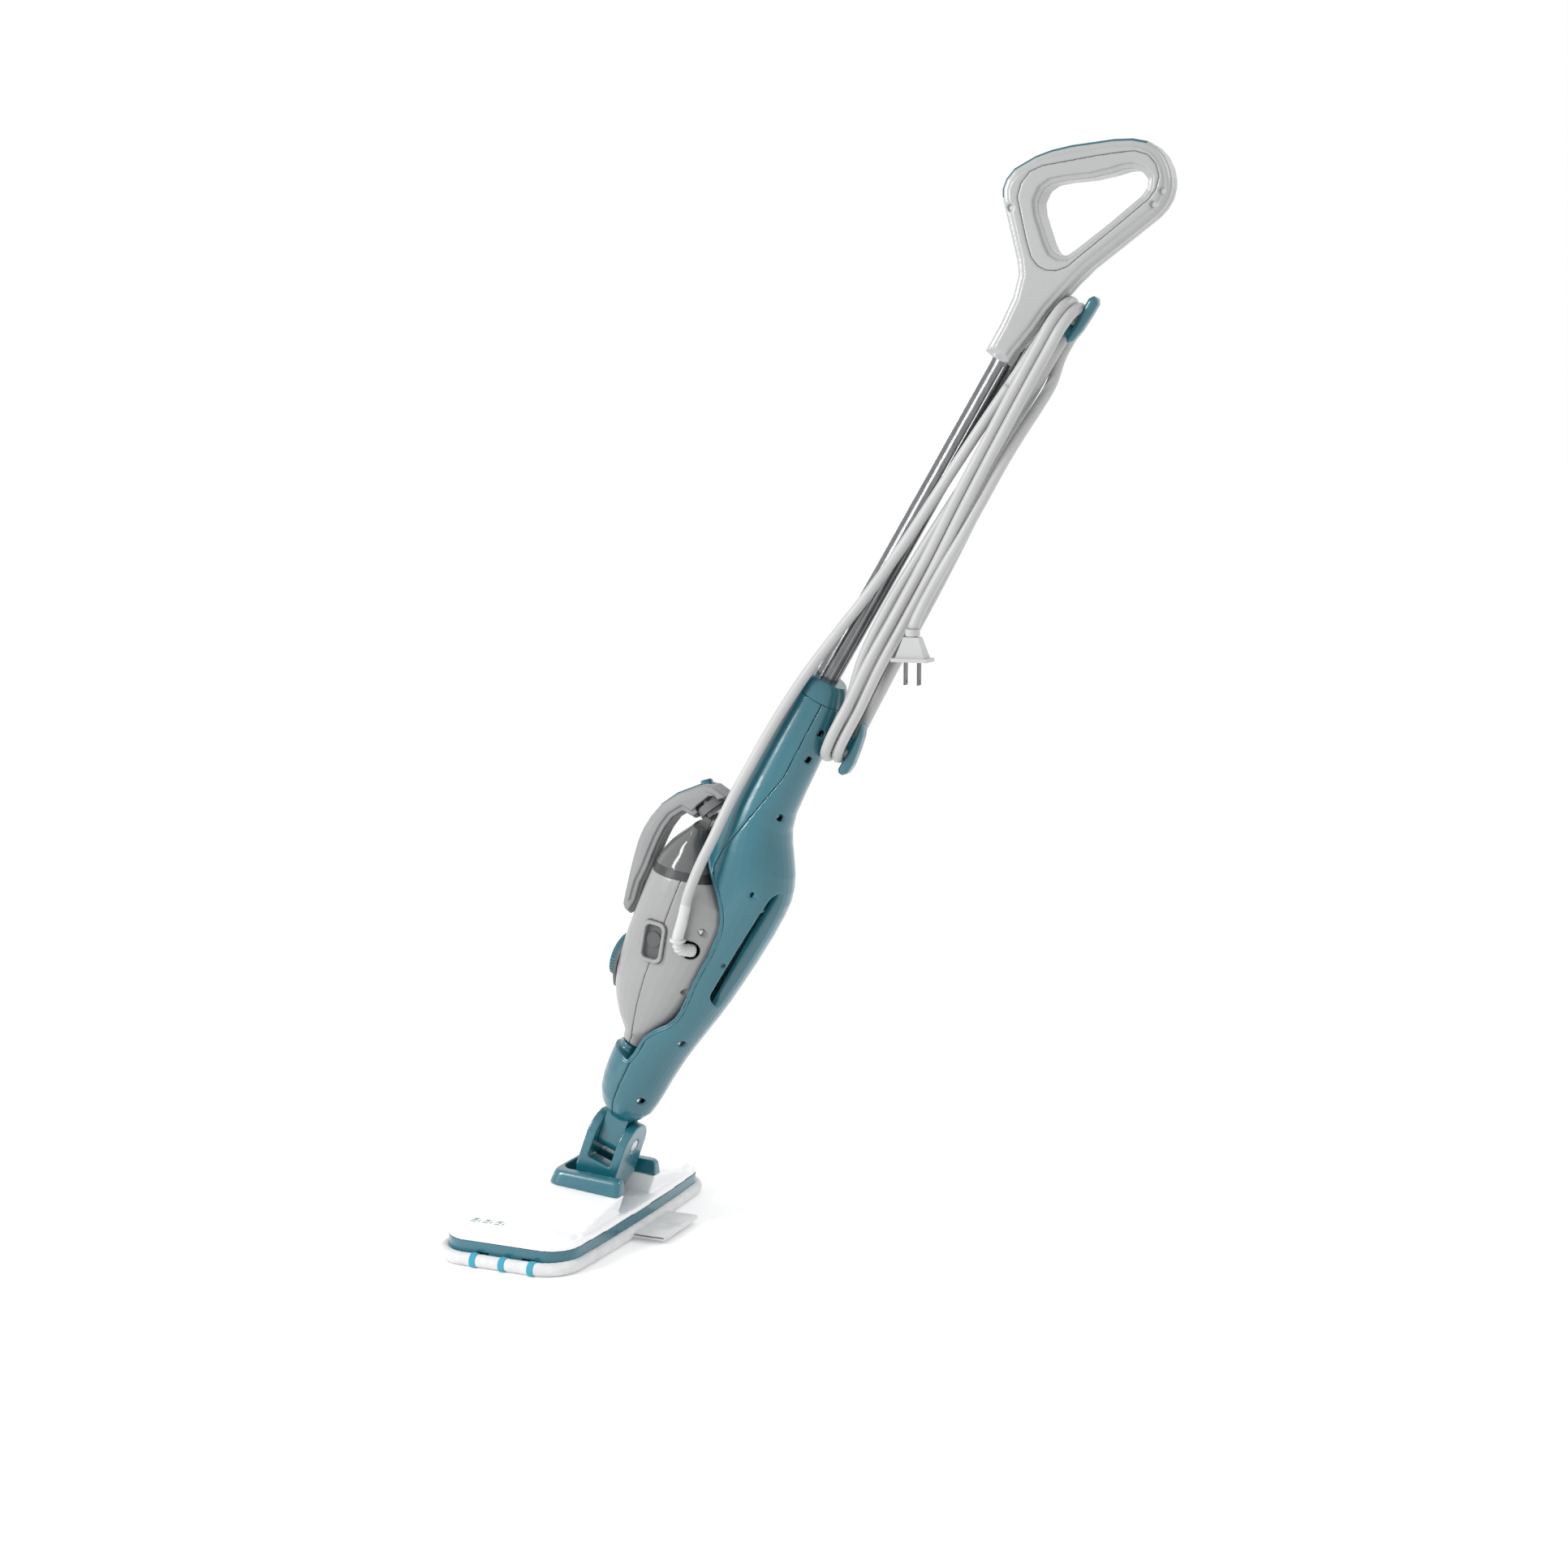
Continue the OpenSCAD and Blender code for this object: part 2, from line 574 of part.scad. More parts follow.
seam = [[-39.5, 140], [-39.5, 160], [-41, 173], [-45, 196], [-50.5, 229], [-53.5, 251],
    [-60, 296], [-64, 322], [-66, 334], [-66, 400]];
// the tank stands on a plane that rises towards the rear
module above_tank_line(z0) {
    side(160) polygon([[-140, z0 - 56], [30, z0 + 12], [30, 500], [-140, 500]]);
}
module steamer_skin() {
    difference() {
        loft(body_st, 0, 2.2, 2.8);
        intersection() {
            loft(body_st, -steamer_wall, 2.2, 2.8);
            translate([-80, -150, 157]) cube([160, 200, 300]);
        }
        above_tank_line(357);
        translate([0, -39.5, 140]) cylinder(r = 6.1, h = 40);
        dial_seat();
        button_seat();
        gland_hole();
        steamer_bores();
        grip_foot_cut();
    }
}
module grip_foot_cut() {
    side(27) polygon([[-130, 258], [-99.6, 250], [-103.6, 274], [-103.8, 290], [-130, 292]]);
}
// screws of the body: [x, z, depth of the head's seat]
steamer_screw = [[39.6, 299.5, -25], [31.5, 236, -17]];
module steamer_bores() {
    for (p = steamer_screw) for (s = [-1, 1]) translate([s * p[0], 0, p[1]]) {
        y_rod(3.4, p[2], 20);
        y_rod(1.65, -60, p[2] + 1);
    }
}
module steamer_rear() {
    color("Gainsboro") in_mast() {
        intersection() {
            union() {
                steamer_skin();
                difference() {
                    for (p = steamer_screw) for (s = [-1, 1])
                        translate([s * p[0], 0, p[1]]) y_rod(4.6, -46, 4);
                    steamer_bores();
                }
            }
            loft(body_st, -0.02, 2.2, 2.8);
            side(160) polygon(concat(seam, [[40, 400], [40, 140]]));
        }
    }
}
module steamer_front() {
    color("Gainsboro") in_mast() intersection() {
        steamer_skin();
        side(160) polygon(concat(seam, [[-150, 400], [-150, 140]]));
    }
}
module steamer_nozzle() {
    color("DimGray") in_mast() translate([0, -39.5, 149.8]) difference() {
        cylinder(r = 6, h = 36);
        translate([0, 0, -1]) cylinder(r = 3, h = 40);
    }
}
module boiler() {
    color("Silver") in_mast() translate([0, -42, 186]) difference() {
        cylinder(r = 20, h = 58);
        translate([0, 0, 4]) cylinder(r = 16, h = 50);
    }
}
module pump() {
    color("SlateGray") in_mast() translate([0, -34, 248]) {
        translate([0, 0, 0]) cylinder(r = 16, h = 40);
        translate([0, 0, 40]) cylinder(r = 5, h = 10);
    }
}
module circuit_board() {
    color("DarkGreen") in_mast() translate([-24, -66, 240]) cube([48, 1.6, 60]);
}
module tank_base() {
    color("DimGray") in_mast() difference() {
        intersection() {
            loft(between(body_st, 300, 400), -0.6, 2.2, 2.8);
            above_tank_line(357.1);
        }
        above_tank_line(366);
        intersection() {
            loft(between(body_st, 300, 400), -6, 2.2, 2.8);
            above_tank_line(361);
        }
    }
}
// filler: its axis points forward and up, into the gap under the grip
module at_cap() {
    translate([0, -83, 393.5]) rotate([68.5, 0, 0]) children();
}
module tank() {
    color("LightSlateGray", 0.5) in_mast() difference() {
        union() {
            intersection() {
                loft(between(body_st, 300, 400), 0, 2.2, 2.8);
                above_tank_line(366.1);
            }
            at_cap() translate([0, 0, -4.3]) cylinder(r = 13, h = 4);
            at_cap() translate([0, 0, -4.3]) cylinder(r = 9, h = 8.3);
            translate([-12, -86, 374]) cube([24, 8.5, 12]);
        }
        at_cap() translate([0, 0, -0.3]) difference() {
            cylinder(r = 16.4, h = 20);
            translate([0, 0, -1]) cylinder(r = 9, h = 5.3);
        }
        at_cap() translate([0, 0, -2]) cylinder(r = 6.5, h = 20);
        intersection() {
            loft(between(body_st, 300, 400), -2.2, 2.2, 2.8);
            translate([-80, -150, 300]) cube([160, 200, 74]);
        }
    }
}
module tank_cap() {
    color("DimGray") in_mast() at_cap() difference() {
        union() {
            cylinder(r = 16, h = 7);
            translate([0, 0, 7]) cylinder(r = 14.6, h = 1.4);
            translate([-11, -2, 8.2]) cube([22, 4, 2.6]);
        }
        translate([0, 0, -1]) cylinder(r = 9.4, h = 5.5);
    }
}
grip_line = [[-105, 257], [-112, 258], [-117, 262], [-122, 278], [-129, 302], [-134, 323],
    [-135.5, 338], [-134.5, 352], [-131, 369], [-121.5, 387], [-108, 405], [-101, 412],
    [-93, 415.5], [-76, 415], [-75.2, 411.6], [-85, 400], [-90.6, 386], [-94, 376.6],
    [-106, 375.6], [-111.6, 365], [-113.4, 352], [-113, 338], [-111.6, 325], [-109.4, 308],
    [-108.6, 291], [-106, 280], [-104.4, 274]];
module grip_solid() {
    difference() {
        eased_side(29, 7) polygon(grip_line);
        side(13) polygon([[-138, 366], [-129.5, 368.5], [-120, 385.5], [-107, 402.5],
            [-112, 410], [-138, 384]]);
        translate([0, -103.6, 410]) rotate([45, 0, 0]) translate([0, 0, -9])
            cylinder(r = 6.2, h = 24);
        loft(between(body_st, 240, 400), 0.15, 2.2, 2.8);
        at_cap() translate([0, 0, -5]) cylinder(r = 16.6, h = 17);
    }
}
module grip_left() {
    color("DimGray") in_mast() intersection() {
        grip_solid();
        translate([0, -200, 200]) cube([60, 300, 300]);
    }
}
module grip_right() {
    color("DimGray") in_mast() intersection() {
        grip_solid();
        translate([-60, -200, 200]) cube([60, 300, 300]);
    }
}
module grip_strip() {
    color("SteelBlue") in_mast() side(12.8) polygon([[-131.8, 367.5], [-129.6, 368.8],
        [-120.1, 385.8], [-107.2, 402.6], [-109, 404.8], [-122.4, 387.4]]);
}
// thumb button at the top of the grip, pressed inwards along its axis
module steam_trigger() {
    color("SteelBlue") in_mast() translate([0, -103.6, 410]) rotate([45, 0, 0]) difference() {
        union() {
            translate([0, 0, -4]) cylinder(r = 6, h = 6.4);
            translate([0, 0, 2.4]) cylinder(r = 5, h = 1);
        }
        translate([0, 0, -5]) cylinder(r = 3.3, h = 4, $fn = 20);
    }
}
module trigger_spring() {
    color("Silver") in_mast() translate([0, -103.6, 410]) rotate([45, 0, 0])
        translate([0, 0, -9]) difference() {
            cylinder(r = 3, h = 5);
            translate([0, 0, -1]) cylinder(r = 2.2, h = 8);
        }
}
// dial frame: its axis runs out of the sloping front of the body
module at_dial() {
    translate([0, -90.4, 216.1]) rotate([102, 0, 0]) children();
}
module dial_seat() {
    at_dial() translate([0, 0, 0.9]) cylinder(r = dial_d / 2 + 1, h = 40);
    at_dial() hull() {
        translate([0, 0, -3.1]) cylinder(r = 25.2, h = 30);
        translate([0, -18, -3.1]) cylinder(r = 15.2, h = 30);
    }
    at_dial() translate([0, 0, -20]) cylinder(r = 4.1, h = 30);
}
module dial_plate() {
    color("DimGray") in_mast() at_dial() difference() {
        hull() {
            translate([0, 0, -3]) cylinder(r = 25, h = 3.3);
            translate([0, -18, -3]) cylinder(r = 15, h = 3.3);
        }
        translate([0, 0, -4]) cylinder(r = 4.1, h = 8);
    }
}
module steam_dial() {
    color("SteelBlue") in_mast() at_dial() difference() {
        union() {
            translate([0, 0, 1.4]) cylinder(r = dial_d / 2 - 1, h = 5, $fn = 60);
            for (a = [0:10:350]) rotate([0, 0, a]) translate([dial_d / 2 - 1, 0, 1.4])
                cylinder(r = 1, h = 5, $fn = 14);
            translate([0, 0, 6.4]) cylinder(r = dial_d / 2 - 4, h = 1.6);
            translate([0, 0, 8]) cylinder(r = dial_d / 2 - 8, h = 1.3);
        }
        translate([0, dial_d / 2 - 9, 7.6]) cube([2, 8, 3], center = true);
        translate([0, 0, 0]) cylinder(r = 4, h = 5);
    }
}
module dial_shaft() {
    color("Silver") in_mast() at_dial() translate([0, 0, -16]) cylinder(r = 4, h = 21);
}
// power button on the +X flank
module at_button() {
    translate([0, -59.5, 265]) rotate([0, 90, 0]) rotate([0, 0, 20]) children();
}
module soft_box(a, b, r, h) {
    linear_extrude(h) hull() for (x = [-1, 1]) for (y = [-1, 1])
        translate([x * (a / 2 - r), y * (b / 2 - r)]) circle(r = r);
}
module button_seat() {
    at_button() translate([0, 0, 36]) soft_box(40.2, 24.2, 7.1, 20);
}
module button_bezel() {
    color("Gainsboro") in_mast() at_button() difference() {
        translate([0, 0, 38]) soft_box(40, 24, 7, 10.6);
        translate([0, 0, 30]) soft_box(33, button_d - 0.5, 5, 30);
    }
}
module power_button() {
    color("DimGray") in_mast() at_button() difference() {
        union() {
            translate([0, 0, 39]) soft_box(32.84, button_d - 0.66, 4.92, 5);
            translate([-2, 0, 44]) cylinder(r = 7.4, h = 1.4);
        }
        // pocket for the end of the spring
        translate([-2, 0, 38]) cylinder(r = 5.3, h = 4, $fn = 20);
    }
}
module button_spring() {
    color("Silver") in_mast() at_button() translate([-2, 0, 31]) difference() {
        cylinder(r = 5, h = 8);
        translate([0, 0, -1]) cylinder(r = 4.2, h = 10);
    }
}
// cord gland and its ribbed bend relief
relief = [[36, -23.2, 278], [43, -26.2, 277.4], [49, -29.4, 276], [52.6, -32.6, 277.4],
    [54, -35.8, 282.6], [54, -38.6, 290]];
module gland_hole() {
    translate([40, -24.8, 278]) rotate([0, 90, 25]) translate([0, 0, -12])
        cylinder(r = 9, h = 30);
    translate([40, -24.8, 278]) rotate([0, 90, -22]) cylinder(r = 8.4, h = 20, $fn = 24);
}
module strain_relief() {
    color("White") in_mast() {
        difference() {
            translate([40, -24.8, 278]) rotate([0, 90, 25]) translate([0, 0, -8])
                cylinder(r = 8.9, h = 8);
            translate([40, -24.8, 278]) rotate([0, 90, 25]) translate([0, 0, -9])
                cylinder(r = 2, h = 3);
        }
        tube(route(relief, 3), 6.6, 16);
        translate([54, -38.6, 290]) rotate([10, 0, 0]) translate([0, 0, -1.4])
            cylinder(r = 8.6, h = 3.4);
    }
}
module steamer_screws() {
    color("DimGray") in_mast() for (p = steamer_screw) for (s = [-1, 1])
        translate([s * p[0], p[2] + 5.02, p[1]]) screw(18);
}

// ---- cord -------------------------------------------------------------------------------
lead = [[54, -38.9, 292], [53.6, -42, 306], [53.4, -47.6, 322], [49, -54, 351],
    [42, -58.4, 386], [35, -63, 421], [31.4, -64.6, 460], [29.4, -65, 500],
    [27.6, -61.8, 560], [23, -57.4, 602], [18.8, -51.6, 645], [17.6, -44.4, 707],
    [17.4, -39.8, 771], [17.4, -35.4, 833], [17.4, -31.2, 880]];
module cord_lead() {
    color("WhiteSmoke") in_mast() tube(route(lead, 3), cord_r, 10);
}
// the wound loops between the two hooks, as one block of their outer shape
module cord_hank() {
    color("WhiteSmoke") in_mast() {
        intersection() {
            translate([0, 20, 0]) rotate([90, 0, 0]) linear_extrude(80) difference() {
                hull() {
                    translate([0, 522]) circle(r = 25.2);
                    translate([0, 944]) circle(r = 25.2);
                }
                hull() {
                    translate([0, 522]) circle(r = 6.4);
                    translate([0, 944]) circle(r = 6.4);
                }
            }
            side(80) polygon([[-16.8, 490], [-17.2, 505], [-19.6, 530], [-23, 552],
                [-27, 566], [-33, 600], [-35, 650], [-33.6, 720], [-28.6, 800], [-24.6, 870],
                [-24.6, 882], [-33, 888], [-33.5, 925], [-31.5, 945], [-29.6, 970],
                [-13, 970], [-13, 905], [-1, 878], [3.4, 840], [4.6, 700], [-1.6, 672],
                [-1.6, 634], [2.4, 614], [1, 560],
                [0, 545], [1.8, 515], [1.8, 490]]);
        }
        translate([17.4, -31.2, 880.7]) cylinder(r = cord_r, h = 18);
    }
}
tail = [[20, -0.4, 712], [23.6, 0.8, 694], [27.4, 2.4, 677], [29.6, 4, 663.6], [30, 5.5, 653.6]];
module cord_tail() {
    color("WhiteSmoke") in_mast() tube(route(tail, 3), cord_r, 10);
}
// the plug hangs straight down, blades lowest
module at_plug() {
    in_mast() translate([30, 5.5, 653.6]) rotate([mast_lean, 0, 0]) children();
}
module plug_body() {
    color("WhiteSmoke") at_plug() {
        translate([0, 0, -6]) cylinder(r = 6.6, h = 6);
        translate([0, 0, -7.4]) cylinder(r = 4.8, h = 2);
        hull() {
            translate([0, 0, -9]) linear_extrude(2) square([11, 14], center = true);
            translate([0, 0, -26]) linear_extrude(1) square([16, 27], center = true);
        }
        translate([0, 0, -29]) linear_extrude(3.2) square([21, 34], center = true);
    }
}
module plug_blades() {
    color("DimGray") at_plug() for (s = [-1, 1]) difference() {
        translate([-3.4, s * 6.35 - 0.8, -50]) cube([6.8, 1.6, 20.95]);
        translate([0, s * 6.35 - 3, -46.5]) y_rod(1.6, 0, 6);
    }
}

// ---- assembly -------------------------------------------------------------------------------
head_pad();
pad_stripes();
pull_tab();
steam_plate();
head_base();
head_cover();
head_bezel();
steam_mark();
tilt_pin();
head_screws();
fork();
swivel_pin();
swivel_tongue();
frame_rear();
frame_front();
frame_collar();
frame_screws();
steam_tube();
socket_seal();
pole();
pole_pin();
handle_left();
handle_right();
handle_insert();
handle_trim();
handle_screws();
upper_hook();
lower_hook();
steamer_rear();
steamer_front();
steamer_nozzle();
boiler();
pump();
circuit_board();
tank_base();
tank();
tank_cap();
grip_left();
grip_right();
grip_strip();
steam_trigger();
trigger_spring();
dial_plate();
steam_dial();
dial_shaft();
button_bezel();
power_button();
button_spring();
strain_relief();
steamer_screws();
cord_lead();
cord_hank();
cord_tail();
plug_body();
plug_blades();
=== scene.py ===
"""Steam mop: the looks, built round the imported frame. Metres, +Z up."""

import json
import math

import bpy
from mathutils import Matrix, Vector, noise

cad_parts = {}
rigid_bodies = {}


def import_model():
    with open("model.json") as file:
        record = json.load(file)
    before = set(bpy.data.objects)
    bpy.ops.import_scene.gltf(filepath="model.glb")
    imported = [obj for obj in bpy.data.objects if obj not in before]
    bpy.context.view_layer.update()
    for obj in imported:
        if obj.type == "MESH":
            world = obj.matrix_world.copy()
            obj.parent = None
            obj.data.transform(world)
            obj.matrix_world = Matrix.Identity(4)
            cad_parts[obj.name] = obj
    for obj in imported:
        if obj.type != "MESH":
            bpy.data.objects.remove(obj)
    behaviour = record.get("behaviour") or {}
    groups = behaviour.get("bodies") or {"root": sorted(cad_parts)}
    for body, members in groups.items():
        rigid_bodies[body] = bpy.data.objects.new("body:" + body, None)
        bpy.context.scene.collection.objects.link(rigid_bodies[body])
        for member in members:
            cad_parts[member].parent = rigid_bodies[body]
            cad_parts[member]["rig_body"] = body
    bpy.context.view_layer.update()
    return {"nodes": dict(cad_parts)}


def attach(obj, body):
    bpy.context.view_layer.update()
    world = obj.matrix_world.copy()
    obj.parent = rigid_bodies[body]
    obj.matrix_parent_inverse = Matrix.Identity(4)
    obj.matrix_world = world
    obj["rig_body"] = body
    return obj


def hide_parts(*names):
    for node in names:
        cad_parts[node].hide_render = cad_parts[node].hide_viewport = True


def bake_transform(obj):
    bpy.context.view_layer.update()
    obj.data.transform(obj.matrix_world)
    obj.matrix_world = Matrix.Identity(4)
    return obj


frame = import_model()
NODES = frame["nodes"]
MM = 0.001
LEAN = math.radians(30.5)  # the mast leans back by this much
TILT = Vector((0, 24, 44))  # the head's tilt pin, in millimetres
WELD_GAP = 0.00001
SHARP = math.radians(32)  # a steeper edge than this is drawn sharp


def mast(x, y, z):
    """A point given in the leaning mast's own millimetres, in the row frame in metres."""
    c, s = math.cos(LEAN), math.sin(LEAN)
    return (TILT + Vector((x, y * c + z * s, z * c - y * s))) * MM


# ---- camera -----------------------------------------------------------------------------
LENS, FILM = 55.9, 36
CAMERA_AT = (2.0612, 1.1215, 0.7756)
CAMERA_WAY = (-0.9073, -0.3958, -0.1419)
cam_data = bpy.data.cameras.new("camera")
cam_data.lens = LENS
cam_data.sensor_width = FILM
cam = bpy.data.objects.new("camera", cam_data)
bpy.context.scene.collection.objects.link(cam)
cam.location = CAMERA_AT
cam.rotation_mode = "QUATERNION"
cam.rotation_quaternion = Vector(CAMERA_WAY).to_track_quat("-Z", "Y")
bpy.context.scene.camera = cam


# ---- materials --------------------------------------------------------------------------
class Paint:
    """A material under construction: its tree, its shader and its object coordinates."""

    def __init__(self, name):
        self.mat = bpy.data.materials.new(name)
        self.mat.use_nodes = True
        self.tree = self.mat.node_tree
        self.shader = self.tree.nodes["Principled BSDF"]
        self.place = self.node("ShaderNodeTexCoord").outputs["Object"]

    def node(self, kind, **values):
        made = self.tree.nodes.new(kind)
        for key, value in values.items():
            setattr(made, key, value)
        return made

    def link(self, a, b):
        self.tree.links.new(a, b)

    def set(self, **values):
        for key, value in values.items():
            self.shader.inputs[key.replace("_", " ")].default_value = value
        return self

    def noise(self, scale, detail=3.0, rough=0.55, stretch=None):
        n = self.node("ShaderNodeTexNoise")
        n.inputs["Scale"].default_value = scale
        n.inputs["Detail"].default_value = detail
        n.inputs["Roughness"].default_value = rough
        if stretch is None:
            self.link(self.place, n.inputs["Vector"])
        else:
            m = self.node("ShaderNodeMapping")
            m.inputs["Scale"].default_value = stretch
            self.link(self.place, m.inputs["Vector"])
            self.link(m.outputs["Vector"], n.inputs["Vector"])
        return n.outputs["Fac"]

    def spread(self, value, low, high, a=0.3, b=0.7):
        m = self.node("ShaderNodeMapRange")
        m.inputs["From Min"].default_value = a
        m.inputs["From Max"].default_value = b
        m.inputs["To Min"].default_value = low
        m.inputs["To Max"].default_value = high
        self.link(value, m.inputs["Value"])
        return m.outputs["Result"]

    def colours(self, value, low, high, a=0.3, b=0.7):
        r = self.node("ShaderNodeValToRGB")
        r.color_ramp.elements[0].position = a
        r.color_ramp.elements[1].position = b
        r.color_ramp.elements[0].color = (*low, 1)
        r.color_ramp.elements[1].color = (*high, 1)
        self.link(value, r.inputs["Fac"])
        self.link(r.outputs["Color"], self.shader.inputs["Base Color"])

    def roughness(self, value, low, high):
        self.link(self.spread(value, low, high), self.shader.inputs["Roughness"])

    def bump(self, value, strength, distance):
        n = self.node("ShaderNodeBump")
        n.inputs["Strength"].default_value = strength
        n.inputs["Distance"].default_value = distance
        self.link(value, n.inputs["Height"])
        if self.shader.inputs["Normal"].is_linked:
            self.link(self.shader.inputs["Normal"].links[0].from_socket, n.inputs["Normal"])
        self.link(n.outputs["Normal"], self.shader.inputs["Normal"])


def scaled(colour, k):
    return tuple(min(1.0, c * k) for c in colour)


def moulded(name, colour, rough=0.32, grain=900, depth=0.00004, strength=0.25, vary=0.05,
            coat=0.0):
    """Injection-moulded plastic: faint flow marks, a fine skin and uneven gloss."""
    p = Paint(name)
    p.colours(p.noise(9, 4), scaled(colour, 1 - vary), scaled(colour, 1 + vary))
    p.roughness(p.noise(60, 5), rough * 0.85, rough * 1.2)
    p.bump(p.noise(grain, 2), strength, depth)
    p.bump(p.noise(28, 2), 0.08, 0.0004)
    p.set(Coat_Weight=coat, Coat_Roughness=0.12)
    return p.mat


def metal(name, colour, rough, stretch):
    p = Paint(name)
    p.set(Metallic=1.0)
    grain = p.noise(160, 4, 0.6, stretch)
    p.colours(grain, scaled(colour, 0.85), scaled(colour, 1.12))
    p.roughness(grain, rough * 0.8, rough * 1.3)
    p.bump(grain, 0.12, 0.0001)
    return p.mat


def woven(name, colour, scale=700, sheen=0.4):
    """Microfibre cloth: crossing threads and loose fuzz."""
    p = Paint(name)
    p.colours(p.noise(55, 6, 0.7), scaled(colour, 0.86), scaled(colour, 1.08))
    p.set(Roughness=0.9, Sheen_Weight=sheen, Sheen_Roughness=0.45)
    for turn in (0.0, math.pi / 2):
        m = p.node("ShaderNodeMapping")
        m.inputs["Rotation"].default_value = (0.3, 0.2, turn + 0.1)
        w = p.node("ShaderNodeTexWave")
        w.inputs["Scale"].default_value = scale / 3
        w.inputs["Distortion"].default_value = 1.5
        w.inputs["Detail Scale"].default_value = 3
        p.link(p.place, m.inputs["Vector"])
        p.link(m.outputs["Vector"], w.inputs["Vector"])
        p.bump(w.outputs["Fac"], 0.3, 0.0003)
    p.bump(p.noise(scale * 1.6, 3), 0.5, 0.0004)
    return p.mat


TEAL = (0.008, 0.112, 0.150)
mats = {
    "teal": moulded("teal_plastic", TEAL, 0.28, coat=0.7, vary=0.1),
    "white": moulded("white_plastic", (0.80, 0.81, 0.82), 0.28, coat=0.2, vary=0.02),
    "grey": moulded("grey_plastic", (0.35, 0.353, 0.356), 0.3, coat=0.3, vary=0.03),
    "light": moulded("light_grey_plastic", (0.27, 0.271, 0.272), 0.34, coat=0.3, vary=0.03),
    "dark": moulded("dark_plastic", (0.085, 0.09, 0.093), 0.5, 1500, 0.0001, 0.5, 0.12),
    "black": moulded("black_plastic", (0.028, 0.029, 0.031), 0.4),
    "cap": moulded("cap_plastic", (0.13, 0.133, 0.136), 0.42, 1500, 0.0001, 0.4, 0.1),
    "grip": moulded("grip_plastic", (0.24, 0.243, 0.246), 0.5, 1500, 0.0001, 0.5, 0.1),
    "blade": metal("blade_metal", (0.16, 0.16, 0.165), 0.3, (1, 1, 0.2)),
    "pole": metal("pole_metal", (0.20, 0.205, 0.21), 0.2, (1, 1, 0.05)),
    "steel": metal("steel", (0.62, 0.63, 0.65), 0.25, (1, 1, 0.2)),
    "alu": metal("aluminium", (0.75, 0.76, 0.77), 0.4, (0.2, 1, 1)),
    "brass": metal("brass", (0.70, 0.52, 0.24), 0.3, (1, 1, 1)),
    "cloth": woven("pad_cloth", (0.62, 0.625, 0.63)),
    "loop": woven("loop_cloth", (0.03, 0.30, 0.42), 900, 0.2),
    "cord": moulded("cord_jacket", (0.42, 0.422, 0.424), 0.42, 1200, 0.00006, 0.3, 0.04),
    "relief": moulded("relief_plastic", (0.52, 0.522, 0.524), 0.36, coat=0.2, vary=0.03),
    "rubber": moulded("rubber", (0.03, 0.03, 0.032), 0.7),
    "board": moulded("board", (0.02, 0.12, 0.05), 0.4),
}
smoke = Paint("tank_smoke")
smoke.colours(smoke.noise(12, 3), (0.16, 0.162, 0.165), (0.20, 0.202, 0.205))
smoke.roughness(smoke.noise(50, 4), 0.06, 0.16)
smoke.bump(smoke.noise(24, 2), 0.06, 0.0006)
ribs = smoke.node("ShaderNodeTexWave", bands_direction="X")
ribs.inputs["Scale"].default_value = 52
smoke.link(smoke.place, ribs.inputs["Vector"])
smoke.bump(ribs.outputs["Fac"], 0.35, 0.0006)
smoke.set(Transmission_Weight=0.45, IOR=1.45)
mats["smoke"] = smoke.mat

LOOK = {
    "teal": "head_base head_bezel steam_mark fork swivel_tongue frame_rear frame_front "
    "frame_collar handle_trim upper_hook lower_hook grip_strip steam_trigger steam_dial",
    "white": "head_cover steam_tube strain_relief",
    "grey": "handle_left handle_right handle_insert",
    "light": "steamer_rear steamer_front button_bezel",
    "dark": "dial_plate power_button pump",
    "black": "tank_base",
    "pole": "pole",
    "blade": "plug_blades",
    "cap": "tank_cap",
    "grip": "grip_left grip_right",
    "steel": "tilt_pin swivel_pin head_screws frame_screws pole_pin handle_screws trigger_spring "
    "button_spring steamer_screws dial_shaft",
    "alu": "steam_plate boiler",
    "brass": "steamer_nozzle",
    "rubber": "socket_seal",
    "smoke": "tank",
    "board": "circuit_board",
    "cloth": "head_pad pull_tab",
    "loop": "pad_stripes",
    "cord": "cord_lead cord_hank cord_tail plug_body",
}
LOOK_OF = {n: k for k, names in LOOK.items() for n in names.split()}


# ---- mesh helpers -----------------------------------------------------------------------
def put(name, verts, faces, look, body, smooth=True):
    me = bpy.data.meshes.new(name)
    me.from_pydata([tuple(v) for v in verts], [], faces)
    me.validate()
    ob = bpy.data.objects.new(name, me)
    bpy.context.scene.collection.objects.link(ob)
    me.materials.append(mats[look])
    me.polygons.foreach_set("use_smooth", [smooth] * len(me.polygons))
    if body:
        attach(ob, body)
    return ob


def applied(ob):
    """The object with its modifiers made real."""
    dg = bpy.context.evaluated_depsgraph_get()
    me = bpy.data.meshes.new_from_object(ob.evaluated_get(dg))
    ob.modifiers.clear()
    ob.data = me
    return ob


def dress(node):
    """A CAD piece as it is, with its paint: welded, split at sharp edges, smooth elsewhere."""
    ob = NODES[node]
    ob.data.materials.clear()
    ob.data.materials.append(mats[LOOK_OF[node]])
    if "custom_normal" in ob.data.attributes:
        ob.data.attributes.remove(ob.data.attributes["custom_normal"])
    ob.data.polygons.foreach_set("use_smooth", [True] * len(ob.data.polygons))
    weld = ob.modifiers.new("weld", "WELD")
    weld.merge_threshold = WELD_GAP
    split = ob.modifiers.new("split", "EDGE_SPLIT")
    split.split_angle = SHARP


